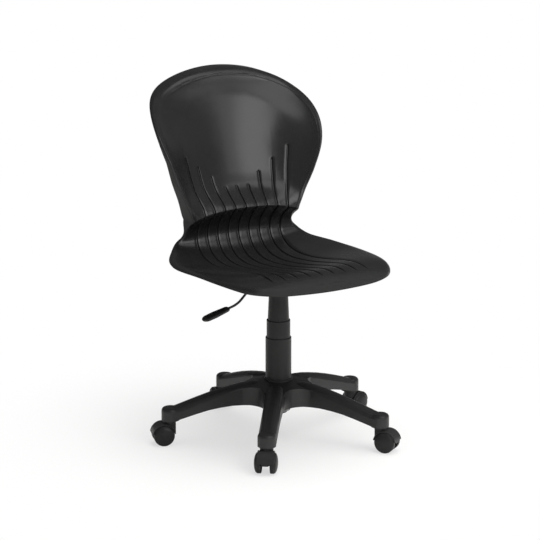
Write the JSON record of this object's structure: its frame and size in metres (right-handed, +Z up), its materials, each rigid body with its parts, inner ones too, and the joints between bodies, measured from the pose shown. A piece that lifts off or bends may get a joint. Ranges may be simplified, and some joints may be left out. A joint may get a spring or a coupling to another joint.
{
  "type": "swivel task chair",
  "caption": "Armless swivel chair with a one-piece grooved plastic shell, a gas column with telescopic covers, a height lever and a star base on twin-wheel casters.",
  "frame": {"origin": "on the floor, on the swivel axis under the middle of the base", "axes": "+Z up along the column, front of the seat towards -Y, sitter's right hand and the lever towards -X"},
  "size_m": [0.6206, 0.6139, 0.8848],
  "materials": {
    "shell_plastic": "satin moulded black, fine grain",
    "base_nylon": "satin black glass-filled nylon",
    "cover_plastic": "satin black",
    "caster_nylon": "smooth black nylon",
    "grip_plastic": "satin black",
    "guide_plastic": "plain black",
    "black_steel": "black powder coat",
    "lever_steel": "black coated rod",
    "bright_steel": "bright ground steel",
    "brass": "plain turned",
    "rubber": "black rubber"
  },
  "bodies": {
    "base": {"base_star": "base_nylon", "hub_ring": "bright_steel", "grip_rings": "bright_steel", "stand_tube": "black_steel", "column_guide": "guide_plastic", "cover_lower": "cover_plastic", "washer_lower": "bright_steel", "thrust_balls": "bright_steel"},
    "cover_middle": {"cover_middle": "cover_plastic"},
    "piston": {"piston_rod": "bright_steel", "piston_head": "brass", "bump_stop": "rubber", "washer_upper": "bright_steel", "rod_clip": "bright_steel"},
    "seat": {"seat_shell": "shell_plastic", "seat_inserts": "brass", "seat_bolts": "black_steel", "mechanism_pan": "black_steel", "taper_socket": "black_steel", "lever_bracket": "black_steel", "lever_pivot": "bright_steel", "gas_cylinder": "black_steel", "cover_upper": "cover_plastic"},
    "lever": {"lever_rod": "lever_steel", "lever_grip": "grip_plastic"},
    "release_pin": {"release_pin": "bright_steel"},
    "caster_1": {"caster_1_stem": "bright_steel", "caster_1_hood": "caster_nylon", "caster_1_axle": "bright_steel"},
    "caster_1_wheel_a": {"caster_1_wheel_a": "caster_nylon"},
    "caster_1_wheel_b": {"caster_1_wheel_b": "caster_nylon"},
    "caster_2": {"caster_2_stem": "bright_steel", "caster_2_hood": "caster_nylon", "caster_2_axle": "bright_steel"},
    "caster_2_wheel_a": {"caster_2_wheel_a": "caster_nylon"},
    "caster_2_wheel_b": {"caster_2_wheel_b": "caster_nylon"},
    "caster_3": {"caster_3_stem": "bright_steel", "caster_3_hood": "caster_nylon", "caster_3_axle": "bright_steel"},
    "caster_3_wheel_a": {"caster_3_wheel_a": "caster_nylon"},
    "caster_3_wheel_b": {"caster_3_wheel_b": "caster_nylon"},
    "caster_4": {"caster_4_stem": "bright_steel", "caster_4_hood": "caster_nylon", "caster_4_axle": "bright_steel"},
    "caster_4_wheel_a": {"caster_4_wheel_a": "caster_nylon"},
    "caster_4_wheel_b": {"caster_4_wheel_b": "caster_nylon"},
    "caster_5": {"caster_5_stem": "bright_steel", "caster_5_hood": "caster_nylon", "caster_5_axle": "bright_steel"},
    "caster_5_wheel_a": {"caster_5_wheel_a": "caster_nylon"},
    "caster_5_wheel_b": {"caster_5_wheel_b": "caster_nylon"}
  },
  "joints": [
    {"name": "seat_swivel", "type": "hinge", "parent": "base", "child": "piston", "pos_m": [0, 0, 0.07], "axis": [0, 0, 1], "continuous": true},
    {"name": "seat_height", "type": "slide", "parent": "piston", "child": "seat", "axis": [0, 0, 1], "range_m": [-0.045, 0.055]},
    {"name": "middle_cover_slide", "type": "slide", "parent": "base", "child": "cover_middle", "axis": [0, 0, 1], "range_m": [-0.0225, 0.0275]},
    {"name": "height_lever", "type": "hinge", "parent": "seat", "child": "lever", "pos_m": [-0.03, 0, 0.401], "axis": [0, 1, 0], "range_deg": [0, 7], "stiffness_Nm_per_rad": 0.8, "springref_deg": -6.88},
    {"name": "pin_press", "type": "slide", "parent": "seat", "child": "release_pin", "axis": [0, 0, -1], "range_m": [0, 0.0045]},
    {"name": "caster_1_swivel", "type": "hinge", "parent": "base", "child": "caster_1", "pos_m": [0, 0.275, 0.06], "axis": [0, 0, 1], "continuous": true},
    {"name": "caster_1_roll_a", "type": "hinge", "parent": "caster_1", "child": "caster_1_wheel_a", "pos_m": [0, 0.2905, 0.026], "axis": [-1, 0, 0], "continuous": true},
    {"name": "caster_1_roll_b", "type": "hinge", "parent": "caster_1", "child": "caster_1_wheel_b", "pos_m": [0, 0.2905, 0.026], "axis": [-1, 0, 0], "continuous": true},
    {"name": "caster_2_swivel", "type": "hinge", "parent": "base", "child": "caster_2", "pos_m": [-0.26154, 0.08498, 0.06], "axis": [0, 0, 1], "continuous": true},
    {"name": "caster_2_roll_a", "type": "hinge", "parent": "caster_2", "child": "caster_2_wheel_a", "pos_m": [-0.27628, 0.08977, 0.026], "axis": [-0.309, -0.9511, 0], "continuous": true},
    {"name": "caster_2_roll_b", "type": "hinge", "parent": "caster_2", "child": "caster_2_wheel_b", "pos_m": [-0.27628, 0.08977, 0.026], "axis": [-0.309, -0.9511, 0], "continuous": true},
    {"name": "caster_3_swivel", "type": "hinge", "parent": "base", "child": "caster_3", "pos_m": [-0.16164, -0.22248, 0.06], "axis": [0, 0, 1], "continuous": true},
    {"name": "caster_3_roll_a", "type": "hinge", "parent": "caster_3", "child": "caster_3_wheel_a", "pos_m": [-0.17075, -0.23502, 0.026], "axis": [0.809, -0.5878, 0], "continuous": true},
    {"name": "caster_3_roll_b", "type": "hinge", "parent": "caster_3", "child": "caster_3_wheel_b", "pos_m": [-0.17075, -0.23502, 0.026], "axis": [0.809, -0.5878, 0], "continuous": true},
    {"name": "caster_4_swivel", "type": "hinge", "parent": "base", "child": "caster_4", "pos_m": [0.16164, -0.22248, 0.06], "axis": [0, 0, 1], "continuous": true},
    {"name": "caster_4_roll_a", "type": "hinge", "parent": "caster_4", "child": "caster_4_wheel_a", "pos_m": [0.17075, -0.23502, 0.026], "axis": [0.809, 0.5878, 0], "continuous": true},
    {"name": "caster_4_roll_b", "type": "hinge", "parent": "caster_4", "child": "caster_4_wheel_b", "pos_m": [0.17075, -0.23502, 0.026], "axis": [0.809, 0.5878, 0], "continuous": true},
    {"name": "caster_5_swivel", "type": "hinge", "parent": "base", "child": "caster_5", "pos_m": [0.26154, 0.08498, 0.06], "axis": [0, 0, 1], "continuous": true},
    {"name": "caster_5_roll_a", "type": "hinge", "parent": "caster_5", "child": "caster_5_wheel_a", "pos_m": [0.27628, 0.08977, 0.026], "axis": [-0.309, 0.9511, 0], "continuous": true},
    {"name": "caster_5_roll_b", "type": "hinge", "parent": "caster_5", "child": "caster_5_wheel_b", "pos_m": [0.27628, 0.08977, 0.026], "axis": [-0.309, 0.9511, 0], "continuous": true}
  ],
  "couplings": [
    {"joint": "middle_cover_slide", "follows": "seat_height", "ratio": 0.5},
    {"joint": "pin_press", "follows": "height_lever", "m_per_rad": 0.03}
  ]
}
